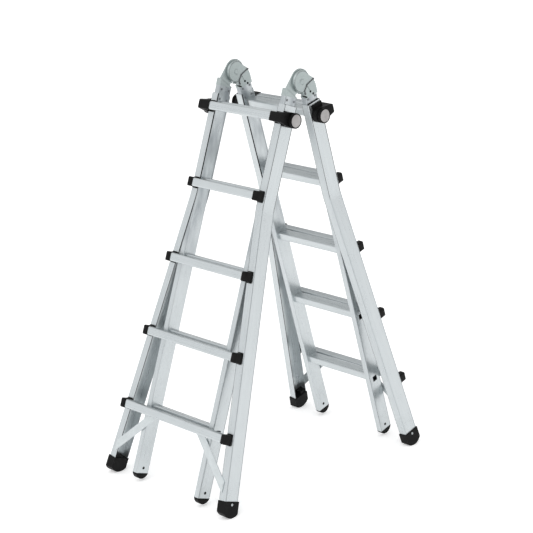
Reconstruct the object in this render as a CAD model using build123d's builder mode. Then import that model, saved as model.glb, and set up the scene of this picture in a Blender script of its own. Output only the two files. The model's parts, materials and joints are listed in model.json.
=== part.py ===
"""Multi position ladder: two telescoping ladders joined at the top by two locking hinges.

Millimetres, +Z up. The origin is on the floor, under the hinge axis, with the front ladder
towards -Y and the rear ladder towards +Y. Each ladder is drawn in its own directions:
s runs down the stile from the hinge axis, and n stands out of the climbing side.
"""
from build123d import *
import os
from math import atan2, cos, degrees, hypot, radians, sin, sqrt, tan

os.makedirs("parts", exist_ok=True)

# Ladder as a whole
rung_pitch = 280.0
rung_count = 5
first_rung = rung_pitch / 2
lean = 17.7
stile_centre = 31.6
slack = 0.05

# Inner ladder: closed box stiles and hollow rungs
inner_face = 175.4
inner_width = 23.0
inner_depth = 58.6
inner_wall = 2.0
inner_end = 1493.0
front_inner_top = 62.0
rear_inner_top = 67.0
inner_centre = inner_face - inner_width / 2
inner_rung_depth = 38.0
inner_rung_height = 29.0
inner_rung_rise = 9.0
inner_rung_reach = 158.4
end_cap_drop = 22.0
end_cap_hole = 1474.0
end_cap_hole_radius = 4.7
end_cap_plug = 38.0
lock_hole = 22.0
corner_groove = (1.5, 1.1)
inner_groove_inset = 4.0

# Outer ladder: channel stiles that flare out below the second rung
outer_face = 182.5
outer_width = 30.0
outer_depth = 62.8
outer_web = 2.2
outer_flange = 1.8
strip_width = 3.9
strip_thickness = 0.7
strip_inset = 0.3
strip_end = 1462.0
strip_straight = 340.0
pad_length = 14.0
pad_thickness = 3.0
outer_groove = (2.1, 1.3)
outer_groove_inset = 3.2
outer_top = 92.0
bend_at = 459.0
flare = 7.07
bend_radius = 260.0
foot_mouth = 1466.0
foot_overlap = 30.0
outer_rung_height = 30.0
outer_rung_depth = 28.0
rung_wall = 1.8
rung_front = 31.1
climbing_face = stile_centre + outer_depth / 2
cap_inset = 5.7
cap_width = 24.0
cap_height = 34.0
cap_flange_width = 26.0
cap_flange_height = 42.0
cap_flange_thickness = 3.0
cap_proud = 1.6

# Feet
foot_wall = 3.0
foot_corner = 1508.0
foot_bottom = 1524.0
floor_flat = 0.3
tab_rise = 14.0
screw_radius = 2.0
screw_head_radius = 4.8
screw_head_thickness = 1.8
screw_length = 8.0
screw_below_mouth = 11.0

# Brace straps under the lowest rung
strap_width = 30.0
strap_thickness = 2.6
strap_middle = (234.0, 1377.4)
strap_slope = 0.93
strap_top = 1250.0
strap_reach = 284.0
strap_rivet_radius = 2.5
strap_rivet_head = 4.6

# Locks at the top rung
boss_radius = 27.0
housing_face = 206.0
housing_plate = 4.5
housing_start = outer_face + slack
sleeve_end = 213.0
sleeve_radius = 24.0
knob_start = 213.3
knob_end = 223.0
bolt_tip = 176.0
bolt_shoulder = 190.0
bolt_side = 19.0
shank_radius = 4.5
spring_end = 203.0
spring_radius = 6.5
spring_wire = 1.2
housing_plate_back = 17.0
housing_plate_start = {"front": 114.0, "rear": 99.0}
housing_plate_length = 52.0

# Hinges
lobe_radius = 45.0
lobe_layer = (1.4, 6.0)
near_cheek = (6.3, 16.0)
near_cheek_radius = 40.5
near_cheek_face_radius = 38.5
near_cheek_rim = 3.0
face_groove = (36.0, 37.3, 1.6)
far_cheek = (-11.5, 1.1)
far_cheek_radius = 30.0
far_cheek_back = 8.0
guard_radius = 44.4
guard_angles = (22.0, 66.0)
guard_thickness = 2.5
shoulder_groove = (1.4, 1.4)
neck_distance = 55.5
neck_angle = 21.06
pin_radius = 6.0
pin_head_radius = 8.0
pin_head_thickness = 2.6
pin_boss_radius = 11.0
pin_boss_taper = 52
lobe_back = 7.0
cheek_back = -6.0
tail_end = 115.0
rivet_rows = (75.0, 110.0)
rivet_offset = 18.0
rivet_radius = 3.0
rivet_head_radius = 4.6
rivet_head_thickness = 1.6
fold_gap = 1.2
lever_pivot = (44.0, -53.0)
lever_width = 3.4
lever_gap = 0.3
lever_thickness = 1.8
lever_bends = ((20.0, -19.5), (1.3, -36.0))
lever_bend_radius = 15.0
pivot_end = 12.0
lock_bar_radius = 3.0
lock_bar_drawn = (1.3, -48.3)
thumb_bar = (54.5, -12.5)
thumb_bar_radius = 2.5
lever_throw = 8.2
spotter_holes = ((28.3, -50.0), (39.0, -62.6))
spotter_radius = 3.2
face_mark = ((20.5, -30.0), (25.0, -43.0))
face_mark_size = (3.0, 1.6)
buffer_middle = (0.6, -58.4)
buffer_end = (5.6, -62.5)
buffer_width = 5.0

# The bottom of a foot is an arc about X, with a small flat where it stands on the floor
foot_half_depth = outer_depth / 2 + foot_wall
foot_drop = foot_bottom - foot_corner
foot_arc = (foot_half_depth ** 2 + foot_drop ** 2) / (2 * foot_drop)
foot_arc_centre = foot_bottom - foot_arc
tilt = radians(lean)
hinge_height = foot_arc_centre * cos(tilt) - stile_centre * sin(tilt) + foot_arc - floor_flat

hinge_turns = (fold_gap - 2 * lean, 0.0, 180.0 - 2 * lean)
facing_of = {"front": 1, "rear": -1}
side_of = {"left": -1, "right": 1}


def rung_level(number):
    """Distance down the stile of rung 1 (top) to rung 5."""
    return first_rung + (number - 1) * rung_pitch


def outer_reach(s):
    """Half width over the outer stiles at the distance s down the stile."""
    return outer_face + max(0.0, s - bend_at) * tan(radians(flare))


def climbing_normal(facing):
    return Vector(0, -facing * cos(tilt), sin(tilt))


def down_the_stile(facing):
    return Vector(0, -facing * sin(tilt), -cos(tilt))


def face_plane(facing, n):
    """Seen from the climbing side: x across, y up the stile."""
    normal = climbing_normal(facing)
    return Plane(origin=Vector(0, 0, hinge_height) + normal * n, x_dir=(facing, 0, 0), z_dir=normal)


def side_plane(facing, x):
    """Seen from the side: x out of the climbing side, y up the stile."""
    return Plane(origin=(x, 0, hinge_height), x_dir=climbing_normal(facing), z_dir=(-facing, 0, 0))


def cross_plane(facing, s, x=0.0):
    """Square across the stile: x across, y out of the climbing side."""
    down = down_the_stile(facing)
    origin = Vector(x, 0, hinge_height) + down * s
    return Plane(origin=origin, x_dir=(facing, 0, 0), z_dir=down)


def save(piece, name):
    piece.part.label = name
    export_step(piece.part, f"parts/{name}.step")


# ---------------------------------------------------------------- inner ladders

def inner_stile(half, side, name):
    facing, sign = facing_of[half], side_of[side]
    top = {"front": front_inner_top, "rear": rear_inner_top}[half]
    with BuildPart() as stile:
        with BuildSketch(cross_plane(facing, top, sign * inner_centre)):
            with Locations((0, stile_centre)):
                RectangleRounded(inner_width, inner_depth, 3)
                RectangleRounded(inner_width - 2 * inner_wall, inner_depth - 2 * inner_wall, 1.2,
                                 mode=Mode.SUBTRACT)
            for edge in (-1, 1):
                groove = stile_centre + edge * (inner_depth / 2 - inner_groove_inset)
                with Locations((facing * sign * inner_width / 2, groove)):
                    Rectangle(2 * corner_groove[1], corner_groove[0], mode=Mode.SUBTRACT)
        extrude(amount=inner_end - top)
        with BuildSketch(side_plane(facing, sign * (inner_face - inner_wall / 2))):
            for number in range(1, rung_count + 1):
                with Locations((stile_centre, -rung_level(number))):
                    RectangleRounded(lock_hole, lock_hole, 2)
        extrude(amount=inner_wall, both=True, mode=Mode.SUBTRACT)
        with BuildSketch(side_plane(facing, sign * (inner_face - inner_width + inner_wall / 2))):
            for number in range(1, rung_count + 1):
                with Locations((stile_centre, inner_rung_rise - rung_level(number))):
                    RectangleRounded(inner_rung_depth + 2 * slack, inner_rung_height + 2 * slack, 5)
        extrude(amount=inner_wall, both=True, mode=Mode.SUBTRACT)
        with BuildSketch(side_plane(facing, sign * inner_centre)):
            with Locations((stile_centre, -end_cap_hole)):
                Circle(end_cap_hole_radius)
            with Locations(*rivet_spots()):
                Circle(rivet_radius + slack)
        extrude(amount=inner_width, both=True, mode=Mode.SUBTRACT)
    save(stile, name)


def grooved_tube(depth, height, wall, radius, grooves):
    """Rung profile in the current sketch: hollow, with shallow grooves along the tread."""
    RectangleRounded(depth, height, radius)
    RectangleRounded(depth - 2 * wall, height - 2 * wall, radius - wall, mode=Mode.SUBTRACT)
    with Locations((0, height / 2)):
        with GridLocations(3.4, 1, grooves, 1):
            Rectangle(1.2, 1.2, mode=Mode.SUBTRACT)


def inner_rungs(half, name):
    facing = facing_of[half]
    with BuildPart() as rungs:
        for number in range(1, rung_count + 1):
            middle = (stile_centre, inner_rung_rise - rung_level(number))
            with BuildSketch(side_plane(facing, 0)):
                with Locations(middle):
                    grooved_tube(inner_rung_depth, inner_rung_height, rung_wall, 5, 8)
            extrude(amount=inner_rung_reach, both=True)
    save(rungs, name)


def inner_end_caps(half, name):
    """Rounded end caps flush with the stiles, on plugs pressed up inside them."""
    facing = facing_of[half]
    reach = inner_depth / 2
    with BuildPart() as caps:
        for sign in (-1, 1):
            with BuildSketch(side_plane(facing, sign * inner_centre)):
                with BuildLine():
                    left = (stile_centre - reach, -inner_end - slack)
                    right = (stile_centre + reach, -inner_end - slack)
                    Line(left, right)
                    ThreePointArc(left, (stile_centre, -inner_end - end_cap_drop), right)
                make_face()
            extrude(amount=inner_width / 2, both=True)
            with BuildSketch(cross_plane(facing, inner_end + slack, sign * inner_centre)):
                with Locations((0, stile_centre)):
                    RectangleRounded(inner_width - 2 * inner_wall - 2 * slack,
                                     inner_depth - 2 * inner_wall - 2 * slack, 1.2)
            extrude(amount=-end_cap_plug)
        rims = caps.edges().filter_by(GeomType.CIRCLE).filter_by(lambda e: e.radius > 20)
        chamfer(rims, 1.2)
    save(caps, name)


# ---------------------------------------------------------------- outer ladders

def outer_route(facing, sign, start, end):
    """The outer face of an outer stile: straight down, then flared."""
    x = facing * sign
    FilletPolyline((x * outer_face, -start), (x * outer_face, -bend_at),
                   (x * outer_reach(end), -end), radius=bend_radius)


def outer_stile(half, side, name):
    facing, sign = facing_of[half], side_of[side]
    with BuildPart() as stile:
        with BuildLine(face_plane(facing, stile_centre)) as route:
            outer_route(facing, sign, outer_top, foot_mouth + foot_overlap)
        start = Plane(origin=route.line @ 0, x_dir=(-sign, 0, 0), z_dir=route.line % 0)
        with BuildSketch(start) as channel:
            Rectangle(outer_width, outer_depth, align=(Align.MIN, Align.CENTER))
            fillet(channel.vertices().group_by(Axis.X)[0], 2)
            with Locations((outer_web, 0)):
                Rectangle(outer_width, outer_depth - 2 * outer_flange,
                          align=(Align.MIN, Align.CENTER), mode=Mode.SUBTRACT)
            for edge in (-1, 1):
                with Locations((0, edge * (outer_depth / 2 - outer_groove_inset))):
                    Rectangle(2 * outer_groove[1], outer_groove[0], mode=Mode.SUBTRACT)
        sweep()
        with BuildSketch(side_plane(facing, sign * outer_face)):
            with Locations((stile_centre, -first_rung)):
                Rectangle(bolt_side + 1.6, bolt_side + 1.6)
        extrude(amount=2 * outer_web, both=True, mode=Mode.SUBTRACT)
        with BuildSketch(screw_plane(facing, sign)):
            Circle(screw_radius + slack)
        extrude(amount=-2 * screw_length, mode=Mode.SUBTRACT)
        px, ps = strap_rivets()[0]
        with BuildSketch(face_plane(facing, climbing_face)):
            with Locations((facing * sign * px, -ps)):
                Circle(strap_rivet_radius + slack)
        extrude(amount=-2 * outer_flange, mode=Mode.SUBTRACT)
    save(stile, name)


def guide_strips(half, name):
    """Plastic glides that keep the inner stiles off the channels.

    A bead runs down the inboard edge of each flange and is wider above the bend. A pad sits
    inside the top of each web.
    """
    facing = facing_of[half]
    lip = outer_depth / 2 - strip_inset
    bead_width = outer_flange - strip_inset
    with BuildPart() as strips:
        for sign in (-1, 1):
            with BuildLine(face_plane(facing, stile_centre)) as route:
                outer_route(facing, sign, outer_top, strip_end)
            start = Plane(origin=route.line @ 0, x_dir=(-sign, 0, 0), z_dir=route.line % 0)
            with BuildSketch(start):
                for edge in (-1, 1):
                    with Locations((outer_width + slack, edge * (lip - bead_width / 2))):
                        Rectangle(2 * strip_thickness, bead_width, align=(Align.MIN, Align.CENTER))
            sweep()
            lip_end = outer_face - outer_width - slack - strip_thickness
            with BuildSketch(cross_plane(facing, outer_top, sign * lip_end)):
                for edge in (-1, 1):
                    with Locations((-facing * sign * strip_thickness / 2,
                                    stile_centre + edge * (lip - strip_width / 2))):
                        Rectangle(strip_thickness, strip_width)
            extrude(amount=strip_straight)
            with BuildSketch(cross_plane(facing, outer_top, sign * (outer_face - outer_web - slack))):
                with Locations((-facing * sign * pad_thickness / 2, stile_centre)):
                    RectangleRounded(pad_thickness, outer_depth - 2 * outer_flange - 1, 1)
            extrude(amount=pad_length)
    save(strips, name)


def outer_rung(half, number, name):
    facing = facing_of[half]
    level = rung_level(number)
    reach = outer_reach(level) - cap_inset - 3.2
    middle = (climbing_face + rung_front - outer_rung_depth / 2, -level)
    with BuildPart() as rung:
        with BuildSketch(side_plane(facing, 0)):
            with Locations(middle):
                grooved_tube(outer_rung_depth, outer_rung_height, rung_wall, 5, 5)
        extrude(amount=reach, both=True)
        if number == rung_count:
            px, ps = strap_rivets()[1]
            with BuildSketch(face_plane(facing, climbing_face)):
                with Locations((px, -ps), (-px, -ps)):
                    Circle(strap_rivet_radius + slack)
            extrude(amount=outer_rung_depth / 2, mode=Mode.SUBTRACT)
    save(rung, name)


def rung_socket(facing, level, start, end):
    """Cuts the pocket that takes a rung's end, from x = start to x = end."""
    middle = (climbing_face + rung_front - outer_rung_depth / 2, -level)
    with BuildSketch(side_plane(facing, start)) as pocket:
        with Locations(middle):
            RectangleRounded(outer_rung_depth + 2 * slack, outer_rung_height + 2 * slack, 5)
    extrude(pocket.sketch, abs(end - start), dir=(1 if end > start else -1, 0, 0), mode=Mode.SUBTRACT)


def rung_caps(half, name):
    """Moulded sockets that hold rungs 2 to 5 on the climbing faces of the stiles."""
    facing = facing_of[half]
    face = climbing_face + slack
    with BuildPart() as caps:
        for number in range(2, rung_count + 1):
            level = rung_level(number)
            outside = outer_reach(level) - cap_inset
            for sign in (-1, 1):
                x = facing * sign * (outside - cap_width / 2)
                with BuildSketch(face_plane(facing, face)):
                    with Locations((x, -level)):
                        RectangleRounded(cap_flange_width, cap_flange_height, 5)
                extrude(amount=cap_flange_thickness)
                with BuildSketch(face_plane(facing, face)):
                    with Locations((x, -level)):
                        RectangleRounded(cap_width, cap_height, 4)
                extrude(amount=rung_front + cap_proud)
                rung_socket(facing, level, sign * (outside - cap_width - 3), sign * (outside - 3))
    save(caps, name)


def lock_housing(half, side, name):
    """Holds the end of the top rung and guides the lock bolt through the stile's web."""
    facing, sign = facing_of[half], side_of[side]
    outward = (sign, 0, 0)
    block_inside = outer_face - outer_width + 0.3
    block_depth = rung_front + cap_proud
    block_middle = (climbing_face + slack + block_depth / 2, -first_rung)
    plate_start = housing_plate_start[half]
    with BuildPart() as housing:
        with BuildSketch(side_plane(facing, sign * housing_start)) as body:
            with Locations((stile_centre, -first_rung)):
                Circle(boss_radius)
            with Locations(block_middle):
                RectangleRounded(block_depth, cap_height, 6)
            make_hull(body.edges())
        extrude(amount=housing_face - housing_start, dir=outward)
        with BuildSketch(side_plane(facing, sign * housing_start)):
            with Locations((stile_centre - housing_plate_back, -plate_start)):
                Rectangle(climbing_face - stile_centre + housing_plate_back, housing_plate_length,
                          align=(Align.MIN, Align.MAX))
        extrude(amount=housing_plate, dir=outward)
        with BuildSketch(face_plane(facing, climbing_face + slack)):
            with Locations((facing * sign * (block_inside + cap_flange_width / 2), -first_rung)):
                RectangleRounded(cap_flange_width, cap_flange_height, 5)
        extrude(amount=cap_flange_thickness)
        with BuildSketch(side_plane(facing, sign * block_inside)):
            with Locations(block_middle):
                RectangleRounded(block_depth, cap_height, 5)
        extrude(amount=housing_start + housing_plate - block_inside, dir=outward)
        with BuildSketch(side_plane(facing, sign * housing_face)):
            with Locations((stile_centre, -first_rung)):
                Circle(sleeve_radius)
                Circle(sleeve_radius - 3.5, mode=Mode.SUBTRACT)
        extrude(amount=sleeve_end - housing_face, dir=outward)
        rung_socket(facing, first_rung, sign * (block_inside - 1), sign * (outer_face - cap_inset - 3))
        with BuildSketch(side_plane(facing, sign * (housing_start - 1))):
            with Locations((stile_centre, -first_rung)):
                Rectangle(bolt_side + 0.6, bolt_side + 0.6)
        extrude(amount=bolt_shoulder + 1.5 - housing_start, dir=outward, mode=Mode.SUBTRACT)
        with BuildSketch(side_plane(facing, sign * (housing_start + 1))):
            with Locations((stile_centre, -first_rung)):
                Circle(spring_radius + 2)
        extrude(amount=spring_end - housing_start - 1, dir=outward, mode=Mode.SUBTRACT)
        with BuildSketch(side_plane(facing, sign * (housing_face - 4))):
            with Locations((stile_centre, -first_rung)):
                Circle(shank_radius + 0.2)
        extrude(amount=6, dir=outward, mode=Mode.SUBTRACT)
    save(housing, name)


def lock_knob(half, side, name):
    """Cup-shaped knob that slides over the housing's sleeve."""
    facing, sign = facing_of[half], side_of[side]
    outward = (sign, 0, 0)
    with BuildPart() as knob:
        with BuildSketch(side_plane(facing, sign * knob_start)):
            with Locations((stile_centre, -first_rung)):
                Circle(boss_radius)
                Circle(sleeve_radius + 0.4, mode=Mode.SUBTRACT)
                Circle(9)
        extrude(amount=7, dir=outward)
        with BuildSketch(side_plane(facing, sign * (knob_start + 7))):
            with Locations((stile_centre, -first_rung)):
                Circle(boss_radius)
        extrude(amount=knob_end - knob_start - 7, dir=outward)
        with BuildSketch(side_plane(facing, sign * (knob_start - 1))):
            with Locations((stile_centre, -first_rung)):
                Circle(shank_radius + slack)
        extrude(amount=7.2, dir=outward, mode=Mode.SUBTRACT)
        with BuildSketch(side_plane(facing, sign * (knob_end - 0.8))):
            with Locations((stile_centre, -first_rung)):
                Circle(sleeve_radius)
        extrude(amount=2, dir=outward, mode=Mode.SUBTRACT)
    save(knob, name)


def lock_bolt(half, side, name):
    facing, sign = facing_of[half], side_of[side]
    outward = (sign, 0, 0)
    with BuildPart() as bolt:
        with BuildSketch(side_plane(facing, sign * bolt_tip)):
            with Locations((stile_centre, -first_rung)):
                RectangleRounded(bolt_side, bolt_side, 1.5)
        extrude(amount=bolt_shoulder - bolt_tip, dir=outward)
        with BuildSketch(side_plane(facing, sign * bolt_shoulder)):
            with Locations((stile_centre, -first_rung)):
                Circle(shank_radius)
        extrude(amount=knob_start + 5 - bolt_shoulder, dir=outward)
    save(bolt, name)


def lock_springs(half, name):
    """Coil springs round the bolt shanks, shown compressed with the bolts drawn back."""
    facing = facing_of[half]
    with BuildPart() as springs:
        for sign in (-1, 1):
            seat = side_plane(facing, sign * (bolt_shoulder + spring_wire / 2 + 0.3))
            centre = seat.from_local_coords((stile_centre, -first_rung, 0))
            height = spring_end - bolt_shoulder - spring_wire - 0.6
            with BuildLine() as coil:
                Helix(pitch=height / 4.5, height=height, radius=spring_radius,
                      center=centre, direction=(sign, 0, 0))
            with BuildSketch(Plane(origin=coil.line @ 0, z_dir=coil.line % 0)):
                Circle(spring_wire / 2)
            sweep()
    save(springs, name)


def foot_plane(facing, sign, along):
    """Square across a flared stile, at the distance along it past the foot's mouth."""
    spread = radians(flare)
    across = Vector(sign * cos(spread), 0, 0) - down_the_stile(facing) * sin(spread)
    down = Vector(sign * sin(spread), 0, 0) + down_the_stile(facing) * cos(spread)
    mouth = (Vector(sign * outer_reach(foot_mouth), 0, hinge_height)
             + down_the_stile(facing) * foot_mouth + climbing_normal(facing) * stile_centre)
    return Plane(origin=mouth + down * along, x_dir=across, z_dir=down)


def foot(half, side, name):
    """Moulded cup on the end of a channel stile, with a core that fills the channel."""
    facing, sign = facing_of[half], side_of[side]
    cup_width = outer_width + 2 * foot_wall
    below = foot_bottom + 20
    with BuildPart() as cup:
        with BuildSketch(foot_plane(facing, sign, 0)):
            with Locations((foot_wall, 0)):
                Rectangle(cup_width, 2 * foot_half_depth, align=(Align.MAX, Align.CENTER))
        extrude(amount=below - foot_mouth)
        with BuildSketch(foot_plane(facing, sign, -tab_rise)):
            with Locations((-outer_web - 0.3, facing * sign * outer_depth / 4)):
                Rectangle(outer_width - outer_web - 1.5, outer_depth / 2 - 2 * outer_flange,
                          align=(Align.MAX, Align.CENTER))
        extrude(amount=tab_rise)
        with BuildSketch(foot_plane(facing, sign, -1)) as groove:
            with Locations((slack, 0)):
                Rectangle(outer_width + 2 * slack, outer_depth + 2 * slack,
                          align=(Align.MAX, Align.CENTER))
            with Locations((-outer_web - slack, 0)):
                Rectangle(outer_width, outer_depth - 2 * outer_flange - 2 * slack,
                          align=(Align.MAX, Align.CENTER), mode=Mode.SUBTRACT)
        extrude(amount=foot_overlap + 1.5, mode=Mode.SUBTRACT)
        with BuildSketch(side_plane(facing, sign * outer_reach(foot_mouth))):
            with BuildLine():
                top = -foot_mouth + 60
                left = stile_centre - foot_half_depth - 5
                right = stile_centre + foot_half_depth + 5
                low_left = (stile_centre - foot_half_depth, -foot_corner)
                low_right = (stile_centre + foot_half_depth, -foot_corner)
                arc_end_left = (left, -foot_corner)
                arc_end_right = (right, -foot_corner)
                Polyline(low_left, arc_end_left, (left, top), (right, top), arc_end_right, low_right)
                ThreePointArc(low_left, (stile_centre, -foot_bottom), low_right)
            make_face()
        extrude(amount=80, both=True, mode=Mode.INTERSECT)
        with BuildSketch(screw_plane(facing, sign)):
            Circle(screw_radius + slack)
        extrude(amount=-2 * screw_length, mode=Mode.SUBTRACT)
        split(bisect_by=Plane.XY, keep=Keep.TOP)
    save(cup, name)


def screw_plane(facing, sign):
    """Under the head of the screw that holds a foot, on the cup's outer side."""
    cross = foot_plane(facing, sign, screw_below_mouth)
    return Plane(origin=cross.from_local_coords((foot_wall + slack, 0, 0)), z_dir=cross.x_dir)


def foot_screws(half, name):
    facing = facing_of[half]
    with BuildPart() as screws:
        for sign in (-1, 1):
            with BuildSketch(screw_plane(facing, sign)):
                Circle(screw_head_radius)
            extrude(amount=screw_head_thickness, taper=15)
            with BuildSketch(screw_plane(facing, sign)):
                Circle(screw_radius)
            extrude(amount=-screw_length)
    save(screws, name)


def strap_edge(s, shift):
    """x of a strap's edge at the distance s down the stile."""
    return strap_middle[0] + (s + shift - strap_middle[1]) / strap_slope


def brace_strap(half, side, name):
    facing, sign = facing_of[half], side_of[side]
    shift = strap_width / 2 * sqrt(1 + strap_slope ** 2)
    low = strap_middle[1] + strap_slope * (strap_reach - strap_middle[0])
    outline = [(strap_edge(strap_top, -shift), strap_top), (strap_edge(strap_top, shift), strap_top),
               (strap_reach, low - shift), (strap_reach, low + shift)]
    x = facing * sign
    with BuildPart() as strap:
        with BuildSketch(face_plane(facing, climbing_face + slack)) as flat:
            Polygon(*[(x * a, -b) for a, b in outline], align=None)
            fillet(flat.vertices(), 2)
            for px, ps in strap_rivets():
                with Locations((x * px, -ps)):
                    Circle(strap_rivet_radius + slack, mode=Mode.SUBTRACT)
        extrude(amount=strap_thickness)
    save(strap, name)


def strap_rivets():
    """Where a strap is fastened: to the stile's flange, and to the back of the lowest rung."""
    on_rung = rung_level(rung_count) - 2
    return ((strap_reach - 6, 1418.0), (strap_edge(on_rung, 0), on_rung))


def strap_rivet_group(half, name):
    facing = facing_of[half]
    front = climbing_face + slack + strap_thickness
    backs = (climbing_face - outer_flange, climbing_face + slack)
    fronts = (front, climbing_face + rung_front - outer_rung_depth + rung_wall)
    with BuildPart() as rivets:
        for sign in (-1, 1):
            for (px, ps), back, end in zip(strap_rivets(), backs, fronts):
                spot = (facing * sign * px, -ps)
                with BuildSketch(face_plane(facing, back - slack)):
                    with Locations(spot):
                        Circle(strap_rivet_head)
                extrude(amount=-1.2)
                with BuildSketch(face_plane(facing, back - slack)):
                    with Locations(spot):
                        Circle(strap_rivet_radius)
                extrude(amount=end - back + 2 * slack)
                with BuildSketch(face_plane(facing, end + slack)):
                    with Locations(spot):
                        Circle(strap_rivet_head)
                extrude(amount=1.2, taper=30)
    save(rivets, name)


# ---------------------------------------------------------------- hinges

def shoulder(n):
    """Distance down the stile of an arm's slanted shoulder, at n."""
    angle = radians(neck_angle)
    return (neck_distance - n * sin(angle)) / cos(angle)


def arm_plate(radius, back, back_end):
    """An arm from round the pivot down to its shoulder, in the current sketch."""
    angle = radians(neck_angle)
    edge = stile_centre + inner_depth / 2
    near = max(stile_centre - inner_depth / 2, back)
    Circle(radius)
    Polygon((0, 0), (radius * cos(angle), radius * sin(angle)), (edge, -shoulder(edge)),
            (near, -shoulder(near)), (back, -back_end), (back, 0), align=None)


def arm_block(facing, x, layer, top):
    """Block between an arm's shoulder and the mouth of the stile, from layer[0] to layer[1]."""
    near, far = stile_centre - inner_depth / 2, stile_centre + inner_depth / 2
    with BuildSketch(side_plane(facing, x + layer[0])) as block:
        Polygon((near, -top + slack), (far, -top + slack), (far, -shoulder(far)),
                (near, -shoulder(near)), align=None)
    extrude(block.sketch, amount=layer[1] - layer[0], dir=(1, 0, 0))


def arm_tail(facing, x, top):
    """The part of an arm that is riveted inside the stile, hollow below its top."""
    half_width = inner_width / 2 - inner_wall - slack
    depth = inner_depth - 2 * inner_wall - 2 * slack
    with BuildSketch(cross_plane(facing, top - 1, x)) as tail:
        with Locations((0, stile_centre)):
            RectangleRounded(2 * half_width, depth, 1.2)
    extrude(tail.sketch, amount=tail_end - top + 1)
    with BuildSketch(cross_plane(facing, top + 6, x)) as hollow:
        with Locations((0, stile_centre)):
            Rectangle(2 * half_width - 7, depth - 8)
    extrude(hollow.sketch, amount=tail_end - top, mode=Mode.SUBTRACT)


def rivet_spots():
    return [(stile_centre + offset, -row) for row in rivet_rows for offset in (-rivet_offset, rivet_offset)]


def rivet_holes(facing, x):
    with BuildSketch(side_plane(facing, x)) as holes:
        with Locations(*rivet_spots()):
            Circle(rivet_radius + slack)
    extrude(holes.sketch, amount=inner_width, both=True, mode=Mode.SUBTRACT)


def lock_bar_pushed():
    """Where the lock bar's centre comes to lie in a notch, beside the rear arm."""
    across, up = lock_bar_drawn[0] - lever_pivot[0], lock_bar_drawn[1] - lever_pivot[1]
    turn = radians(-lever_throw)
    return (lever_pivot[0] + across * cos(turn) - up * sin(turn),
            lever_pivot[1] + across * sin(turn) + up * cos(turn))


def on_front(point, turn):
    """(y, z) from the hinge axis of a point beside the rear arm, with the rear half turned."""
    n, up = point
    y, z = n * cos(tilt) - up * sin(tilt), n * sin(tilt) + up * cos(tilt)
    angle = radians(turn)
    return (y * cos(angle) - z * sin(angle), y * sin(angle) + z * cos(angle))


def front_arm(side, name):
    """Lobe with a notch for each locked position, on a block riveted into the front stile."""
    facing = facing_of["front"]
    x = side_of[side] * inner_centre
    with BuildPart() as arm:
        with BuildSketch(side_plane(facing, x + lobe_layer[0])):
            arm_plate(lobe_radius, lobe_back, shoulder(lobe_back))
            Circle(pin_radius + 0.06, mode=Mode.SUBTRACT)
        extrude(amount=lobe_layer[1] - lobe_layer[0], dir=(1, 0, 0))
        arm_block(facing, x, (-inner_width / 2, inner_width / 2), front_inner_top)
        arm_tail(facing, x, front_inner_top)
        rivet_holes(facing, x)
        for direction in (-1, 1):
            groove_width, groove_depth = shoulder_groove
            with BuildSketch(side_plane(facing, x + direction * (inner_width / 2 - groove_depth))):
                ends = [(n, -shoulder(n) - 1.5) for n in (-10, 80)]
                Polygon(*ends, *[(n, up - groove_width) for n, up in reversed(ends)], align=None)
            extrude(amount=2 * groove_depth, dir=(direction, 0, 0), mode=Mode.SUBTRACT)
        for turn in hinge_turns:
            inner, outer = on_front(lock_bar_pushed(), turn), on_front(lock_bar_drawn, turn)
            middle = ((inner[0] + outer[0]) / 2, (inner[1] + outer[1]) / 2)
            with BuildSketch(Plane(origin=(x, 0, hinge_height), x_dir=(0, 1, 0), z_dir=(1, 0, 0))):
                SlotCenterPoint(middle, outer, 2 * lock_bar_radius + 1)
            extrude(amount=2 * lobe_layer[1], both=True, mode=Mode.SUBTRACT)
    save(arm, name)


def near_cheek_neck():
    """Outline of the near cheek beside the lever, from the disc down to the block."""
    edge = stile_centre + inner_depth / 2
    return [(0, 0), (33.5, 13.5), (52.5, -5.4), (59.6, -26.0), (edge, -shoulder(edge))]


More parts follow.
